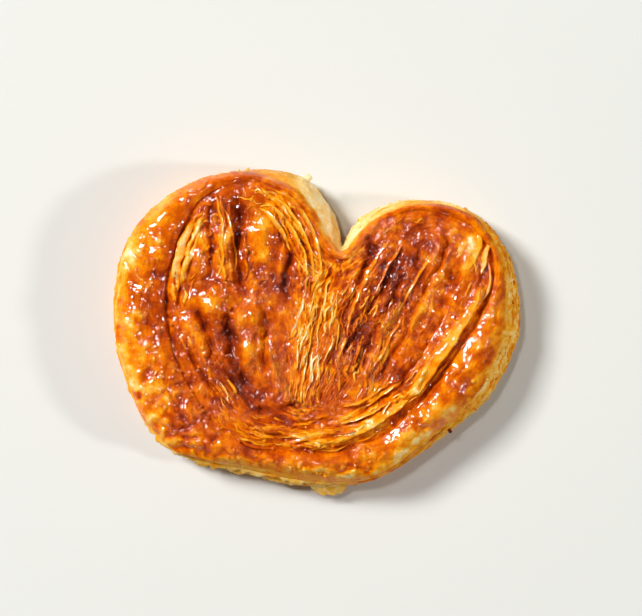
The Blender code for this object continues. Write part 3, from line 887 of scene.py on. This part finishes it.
def rim_shards(material, count=260):
    """Scraps of the last leaf round the rim, most of them on the toasted right side."""
    random = np.random.default_rng(311)
    line = smooth_line(np.column_stack([RIM, LEDGE]), 24, closed=True)
    along = lengths_along(line[:, :2])
    at = random.uniform(0, along[-1], 5 * count)
    x, y, ledge = (np.interp(at, along, column) for column in line.T)
    likely = 0.10 + 0.8 * step_up(x, 22.0, 36.0) * (y < 24)
    keep = np.flatnonzero(random.random(5 * count) < likely)[:count]
    at, x, y, ledge = at[keep], x[keep], y[keep], ledge[keep]
    ahead_x, ahead_y = (np.interp((at + 0.8) % along[-1], along, line[:, k]) for k in (0, 1))
    way = np.stack(unit(ahead_x - x, ahead_y - y), axis=1)
    out = np.stack([-way[:, 1], way[:, 0]], axis=1)
    swing = random.normal(0, 0.9, (len(at), 1))
    height = random.uniform(1.5, 11.0, len(at))
    inset = np.interp(height, *np.array(WALL[::-1]).T) * ledge + 0.45
    spots = np.column_stack([x - out[:, 0] * inset, y - out[:, 1] * inset, height])
    sizes = np.column_stack([random.uniform(0.45, 0.95, len(at)), random.uniform(0.5, 1.7, len(at))])
    tilt = random.normal(-0.2, 0.5, len(at))
    brown = 0.24 + 0.16 * step_up(x, 20.0, 36.0) - 0.10 * step_up(-y, 24.0, 30.0)
    brown = brown + random.normal(0, 0.08, len(at))
    shards("rim_shards", material, spots, out * np.cos(swing) + way * np.sin(swing), sizes, tilt, brown, 312)


# Larger scraps: (x, y, z, direction in degrees, length, breadth, climb, browning).
SCRAPS = (
    (-2.4, 33.4, 9.8, 50, 1.2, 1.7, -0.3, 0.10),
    (27.8, -19.6, 8.0, -60, 1.8, 0.8, -0.2, 0.97),
    (33.0, -15.2, 8.0, -40, 1.6, 0.7, -0.2, 0.5),
)


def larger_scraps(material):
    """A few larger bits of leaf, at the notch and on the lower right."""
    table = np.array(SCRAPS)
    angle, climb, brown = np.radians(table[:, 3]), table[:, 6], table[:, 7]
    way = np.stack([np.cos(angle), np.sin(angle)], axis=1)
    shards("larger_scraps", material, table[:, :3], way, table[:, 4:6], climb, brown, 351, samples=9)


# Torn edges of leaves round the wall: (first station, last station, height, breadth, droop, browning).
TORN_EDGES = (
    (15.7, 21.4, 8.6, 1.9, 2.2, 0.26),
    (15.9, 20.4, 6.8, 1.5, 1.8, 0.22),
    (16.0, 19.6, 5.2, 1.0, 1.2, 0.28),
    (12.2, 15.8, 10.4, 0.8, 0.7, 0.60),
    (12.8, 15.6, 8.4, 0.7, 0.6, 0.52),
    (28.4, 33.6, 10.4, 0.5, 0.8, 0.12),
    (6.4, 15.2, 10.6, 1.0, 0.8, 0.30),
    (7.0, 15.0, 8.8, 0.9, 0.8, 0.34),
    (7.4, 14.4, 7.0, 0.9, 0.8, 0.28),
    (7.0, 14.6, 5.2, 0.8, 0.7, 0.34),
    (7.6, 14.0, 3.2, 0.7, 0.5, 0.30),
    (20.4, 28.4, 9.4, 0.8, 1.2, 0.36),
    (20.8, 27.8, 6.0, 0.7, 0.8, 0.30),
    (0.6, 6.6, 9.8, 0.6, 0.8, 0.16),
    (0.8, 6.4, 7.0, 0.5, 0.6, 0.10),
)
TORN_ACROSS = np.array([-0.8, 0.0, 0.6, 1.0])  # places across it: inside the wall below 0, at its reach 1
TORN_THICK = np.array([0.16, 0.12, 0.08, 0.03])  # half its thickness there


def torn_edges(material, spacing=0.3):
    """Thin leaf edges that stand out of the wall, each one closed strip with a ragged outer side."""
    table = closing(np.tile(smooth_line(np.column_stack([RIM, LEDGE]), 24, closed=True), (2, 1)))
    points, quads, triangles, browning = [], [], [], []
    total = 0
    for k, (first, last, height, breadth, droop, brown) in enumerate(TORN_EDGES):
        stretch = table[int(24 * first) : int(24 * last) + 1]
        x, y, ledge = evenly(stretch, int(lengths_along(stretch[:, :2])[-1] / spacing)).T
        dx, dy = unit(np.gradient(x), np.gradient(y))
        seed = 360 + 5 * k
        height = height + 0.7 * crumple(x, y, 7.0, seed, 2)
        ragged = 0.45 + 0.45 * crumple(x, y, 2.4, seed + 1, 3) + 0.4 * crumple(x, y, 0.9, seed + 2, 2)
        reach = breadth * np.clip(ragged, -0.3, 1.0) * np.sin(np.pi * np.linspace(0, 1, len(x))) ** 0.4
        inset = np.interp(height, *np.array(WALL[::-1]).T) * ledge
        rough = 0.15 * crumple(x, y, 1.2, seed + 3, 2)
        columns = np.stack([x, y, dx, dy, height, reach, inset, rough])[..., None]
        x, y, dx, dy, height, reach, inset, rough = columns
        out = np.where(TORN_ACROSS < 0, TORN_ACROSS, reach * TORN_ACROSS) - inset
        z = height + rough - droop * np.maximum(TORN_ACROSS, 0) ** 1.5 * np.clip(reach / breadth, 0, 1)
        ring_x = around(x - dy * out, x - dy * out)
        ring_y = around(y + dx * out, y + dx * out)
        points.append(place(ring_x, ring_y, np.maximum(around(z + TORN_THICK, z - TORN_THICK), 0.02)))
        strip = strip_faces(1, *ring_x.shape)
        for faces, part in zip((quads, triangles), strip):
            faces.append(total + part)
        browning.append(np.clip(brown + 0.14 * crumple(ring_x, ring_y, 1.8, seed + 4, 3), 0, 1).ravel())
        total += ring_x.size
    points, quads, triangles = (np.vstack(part) for part in (points, quads, triangles))
    make_piece("torn_edges", points, quads, triangles, material, np.concatenate(browning))


def loose_flake(material, columns=26, rings=14):
    """The loose flake that hangs under the tip: a thin ragged closed sheet, bent down at its free end."""
    u, v = np.meshgrid(np.linspace(-1, 1, columns), np.linspace(0, 1, rings))
    wide = 4.2 * (1 - 0.2 * v) + 0.8 * crumple(v * 6, 0 * v + 3.0, 1.4, 381, 2)
    long = 3.3 + 0.5 * crumple(u * 5, 0 * u, 1.5, 382, 3) - 0.9 * np.abs(u) ** 3
    x = 2.6 + u * wide - 0.4 * v
    y = -31.4 - long * v
    z = 6.6 - 3.2 * v**1.6 + 0.35 * crumple(x, y, 1.8, 383, 3) + 0.4 * (1 - u**2) * v
    thick = 0.07
    count = x.size
    top = grid_faces(rings, columns, wrap_columns=False)
    numbers = np.arange(count).reshape(rings, columns)
    border = np.concatenate([numbers[0, :-1], numbers[:-1, -1], numbers[-1, :0:-1], numbers[:0:-1, 0]])
    on = np.roll(border, -1)
    sides = np.stack([border, border + count, on + count, on], axis=1)
    make_piece(
        "loose_flake", np.vstack([place(x, y, z + thick), place(x, y, z - thick)]),
        np.vstack([top, top[:, ::-1] + count, sides]), NO_TRIANGLES, material,
        browning=np.tile(np.ravel(0.25 + 0.14 * crumple(x, y, 1.6, 384, 3) + 0.10 * (1 - v)), 2),
    )


def turn_at(back, x, y):
    """Height and browning of the outer turn's back at loose places, from the nearest rows of back."""
    nearest = np.empty(len(x), int)
    for k in range(0, len(x), 200):
        gap = (back[:, 0] - x[k : k + 200, None]) ** 2 + (back[:, 1] - y[k : k + 200, None]) ** 2
        nearest[k : k + 200] = gap.argmin(1)
    return back[nearest, 2], back[nearest, 3]


def sugar_drops(material, back, count=1450):
    """Flat drops of melted sugar, each a lens of 48 faces let into the glaze, most where the syrup ran."""
    random = np.random.default_rng(321)
    tries = 14 * count
    x, y = random.uniform(-42, 42, tries), random.uniform(-32, 34, tries)
    inside = inside_line(RIM_LINE, x, y) & (away_from(RIM_LINE, x, y) > 3.0)
    likely = 0.5 * (patches(x, y, SYRUP) + 0.04)
    keep = np.flatnonzero((random.random(tries) < likely) & inside)[:count]
    x, y = x[keep], y[keep]
    count = len(x)
    height, brown = face(x, y)[:2]
    turn_height, turn_brown = turn_at(back, x, y)
    on_turn = ~inside_line(FOLD_LINE, x, y)
    base = np.where(on_turn, turn_height, under_ceiling(ROLL_HEIGHT + height))
    brown = np.where(on_turn, turn_brown, brown)

    rings, sides = 5, 8
    up = np.linspace(-1, 1, rings + 2)[1:-1, None]
    wide = np.sqrt(1 - up**2)
    turn = np.arange(sides) / sides * 2 * np.pi
    ball = np.stack([wide * np.cos(turn), wide * np.sin(turn), up + 0 * turn], axis=-1)
    ball = np.vstack([ball.reshape(-1, 3), (0, 0, -1), (0, 0, 1)])
    lower = fan(np.arange(sides), len(ball) - 2)[:, ::-1]
    upper = fan((rings - 1) * sides + np.arange(sides), len(ball) - 1)
    quads = repeated(grid_faces(rings, sides)[:, ::-1], count, len(ball))
    triangles = repeated(np.vstack([lower, upper]), count, len(ball))

    size = 0.15 + 0.34 * random.random(count) ** 1.8
    long, tall = (size * random.uniform(low, high, count) for low, high in ((0.8, 1.4), (0.35, 0.55)))
    stretch = np.column_stack([size, long, tall])
    middles = np.stack([x, y, base + 0.05 * size], axis=1)
    points = place(*np.moveaxis(ball * stretch[:, None] + middles[:, None], 2, 0))
    brown = np.repeat(brown - 0.03, len(ball))
    make_piece("sugar_drops", points, quads, triangles, material, brown, glaze=1.0)


# ---------------------------------------------------------------- finishes

# The crust's colours from cream to burnt sugar: (browning, screen colour).
BROWNING = (
    (0.00, (252, 234, 190)),
    (0.14, (248, 208, 130)),
    (0.28, (246, 172, 38)),
    (0.42, (238, 136, 0)),
    (0.56, (214, 98, 0)),
    (0.70, (182, 68, 0)),
    (0.85, (142, 44, 4)),
    (1.00, (96, 26, 6)),
)
DOUGH = {
    "Specular IOR Level": 0.0,
    "Subsurface Weight": 0.25,
    "Subsurface Radius": (1.0, 0.42, 0.12),
    "Subsurface Scale": 0.0012,
}
SUGAR_COAT = {"Coat Roughness": 0.03, "Coat IOR": 1.62}
BOARD = {"Base Color": (0.685, 0.70, 0.685, 1.0), "Roughness": 0.9, "Specular IOR Level": 0.1}


def linear(red, green, blue):
    """A screen colour, 0 to 255, as the light values that shaders take."""
    c = np.array([red, green, blue]) / 255
    return tuple(np.where(c <= 0.04045, c / 12.92, ((c + 0.055) / 1.055) ** 2.4)) + (1.0,)


class Nodes:
    """Short names for adding and joining the nodes of a material or a world."""

    def __init__(self, owner):
        owner.use_nodes = True
        self.tree = owner.node_tree

    def add(self, kind, inputs=None, **settings):
        """A new node with those settings and inputs."""
        node = self.tree.nodes.new(kind)
        for key, value in settings.items():
            setattr(node, key, value)
        self.feed(node, inputs or {})
        return node

    def feed(self, node, inputs):
        """Gives each named input of a node its value, or joins it to the output given."""
        for key, source in inputs.items():
            if isinstance(source, bpy.types.NodeSocket):
                self.tree.links.new(source, node.inputs[key])
            else:
                node.inputs[key].default_value = source

    def maths(self, operation, a, b, clamp=False):
        """The output of a maths node on a and b."""
        return self.add("ShaderNodeMath", {0: a, 1: b}, operation=operation, use_clamp=clamp).outputs[0]

    def plus(self, a, b, clamp=False):
        """a + b."""
        return self.maths("ADD", a, b, clamp)

    def times(self, a, b, clamp=False):
        """a * b."""
        return self.maths("MULTIPLY", a, b, clamp)

    def shaken(self, noise, amount):
        """The noise about 0 instead of 0.5, times the amount."""
        return self.times(self.maths("SUBTRACT", noise, 0.5), amount)

    def noise(self, vector, scale, detail, roughness):
        """Smooth noise about 0.5."""
        inputs = {"Vector": vector, "Scale": scale, "Detail": detail, "Roughness": roughness}
        return self.add("ShaderNodeTexNoise", inputs).outputs["Fac"]

    def bump(self, height, strength, distance):
        """A normal tilted by the slopes of the height."""
        inputs = {"Strength": strength, "Distance": distance, "Height": height}
        return self.add("ShaderNodeBump", inputs).outputs[0]


def glazed_pastry():
    """Baked dough under melted sugar.

    The browning field, shaken by fine noise and by the leaves' grain, runs through a ramp from cream to burnt
    sugar; along with the crust's own colour it carries the painted shade and painted light put into the
    meshes.
    The glaze field sets the clear coat and how smooth the crust is. Bubbles and grain are bump."""
    material = bpy.data.materials.new("glazed_pastry")
    n = Nodes(material)
    shader = n.tree.nodes["Principled BSDF"]
    place_on = n.add("ShaderNodeTexCoord").outputs["Object"]
    browning, glaze, grain = (n.add("ShaderNodeAttribute", attribute_name=f).outputs["Fac"] for f in FIELDS)

    side_x, side_y, _ = n.add("ShaderNodeSeparateXYZ", {0: place_on}).outputs
    strand = n.add("ShaderNodeCombineXYZ", {0: grain, 1: n.times(side_y, 160.0), 2: n.times(side_x, 110.0)})
    fibres = n.noise(strand.outputs[0], 2.6, 3.0, 0.6)
    fine = n.noise(place_on, 1500.0, 4.0, 0.6)
    blotch = n.noise(place_on, 420.0, 3.0, 0.55)
    shake = n.plus(n.plus(n.shaken(fine, 0.32), n.shaken(blotch, 0.36)), n.shaken(fibres, 0.22))
    ramp = n.add("ShaderNodeValToRGB", {0: n.plus(browning, shake, clamp=True)})
    stops = ramp.color_ramp.elements
    for stop, (position, colour) in zip(stops, (BROWNING[0], BROWNING[-1])):
        stop.position = position
        stop.color = linear(*colour)
    for position, colour in BROWNING[1:-1]:
        stops.new(position).color = linear(*colour)

    rough = n.plus(n.maths("SUBTRACT", 0.66, n.times(glaze, 0.30)), n.shaken(fine, 0.2), clamp=True)
    coat = n.times(glaze, n.plus(n.times(blotch, 0.8), 0.4), clamp=True)
    n.feed(shader, {"Base Color": ramp.outputs[0], "Roughness": rough, "Coat Weight": coat})
    n.feed(shader, DOUGH)
    n.feed(shader, SUGAR_COAT)

    calm = n.maths("SUBTRACT", 1.1, glaze)
    bare = n.maths("SUBTRACT", 1.0, n.times(glaze, 0.75))
    inputs = {"Scale": 1100.0, "Smoothness": 0.35, "Vector": place_on}
    bubbles = n.add("ShaderNodeTexVoronoi", inputs, feature="SMOOTH_F1")
    relief = n.plus(n.times(bubbles.outputs["Distance"], -0.10), n.times(fibres, bare))
    relief = n.times(n.plus(relief, n.times(fine, 0.35)), n.plus(calm, 0.3))
    beads = n.noise(place_on, 1250.0, 0.0, 0.5)
    ripples = n.plus(n.noise(place_on, 620.0, 2.0, 0.5), n.times(beads, 0.45))
    ripples = n.times(ripples, n.plus(n.times(calm, 1.3), 0.20))
    n.feed(shader, {"Normal": n.bump(relief, 0.5, 0.0002), "Coat Normal": n.bump(ripples, 0.7, 0.00032)})
    return material


def table_top():
    """Matt near-white board."""
    material = bpy.data.materials.new("table_top")
    n = Nodes(material)
    n.feed(n.tree.nodes["Principled BSDF"], BOARD)
    return material


# ---------------------------------------------------------------- the set


def put(name, data, where):
    """A new object of that data in the scene, at a place in metres."""
    thing = bpy.data.objects.new(name, data)
    bpy.context.scene.collection.objects.link(thing)
    thing.location = where
    return thing


def studio(material):
    """A pale floor, three soft square lamps, a dim warm room, and the camera straight above."""
    s = FLOOR_REACH
    mesh = bpy.data.meshes.new("floor")
    mesh.from_pydata([(-s, -s, 0), (s, -s, 0), (s, s, 0), (-s, s, 0)], [], [(0, 1, 2, 3)])
    mesh.materials.append(material)
    floor = put("floor", mesh, (0, 0, 0))

    room = bpy.data.worlds.new("room")
    n = Nodes(room)
    way = n.add("ShaderNodeTexCoord").outputs["Generated"]
    height = n.add("ShaderNodeSeparateXYZ", {0: way}).outputs[2]
    spans = {"From Min": 0.25, "From Max": 0.95, "To Min": WALLS_GLOW, "To Max": CEILING_GLOW}
    glow = n.add("ShaderNodeMapRange", {"Value": height, **spans}).outputs["Result"]
    n.feed(n.tree.nodes["Background"], {"Strength": glow, "Color": ROOM_COLOUR})
    bpy.context.scene.world = room

    for name, watts, size, where in LAMPS:
        lamp = bpy.data.lights.new(name, "AREA")
        lamp.shape = "SQUARE"
        lamp.size = size
        lamp.energy = watts
        lamp.color = LAMP_COLOUR
        hung = put(name, lamp, where)
        hung.rotation_euler = (Vector(AIM) - Vector(where)).to_track_quat("-Z", "Y").to_euler()

    view = bpy.data.cameras.new("camera")
    view.lens = 135.0
    view.sensor_width = 36.0
    bpy.context.scene.camera = put("camera", view, place(*np.array(CAMERA_PLACE))[0])


crust = glazed_pastry()
back = outer_turn(crust)
left_edge = np.vstack([SEAM_LINE, fold_between(LAST_OF_RIGHT_ROLL, len(STATIONS))[1:]])
right_edge = np.vstack([SEAM_LINE[::-1], fold_between(0, LAST_OF_RIGHT_ROLL)[1:]])
roll("left_roll", left_edge, (-14.5, 6.0), crust)
roll("right_roll", right_edge, (17.5, 5.0), crust)
underside(crust)
bare_leaves(crust)
leaf_edges(crust)
rim_shards(crust)
larger_scraps(crust)
torn_edges(crust)
loose_flake(crust)
sugar_drops(crust, back)
studio(table_top())
bpy.context.scene.view_settings.view_transform = "Standard"
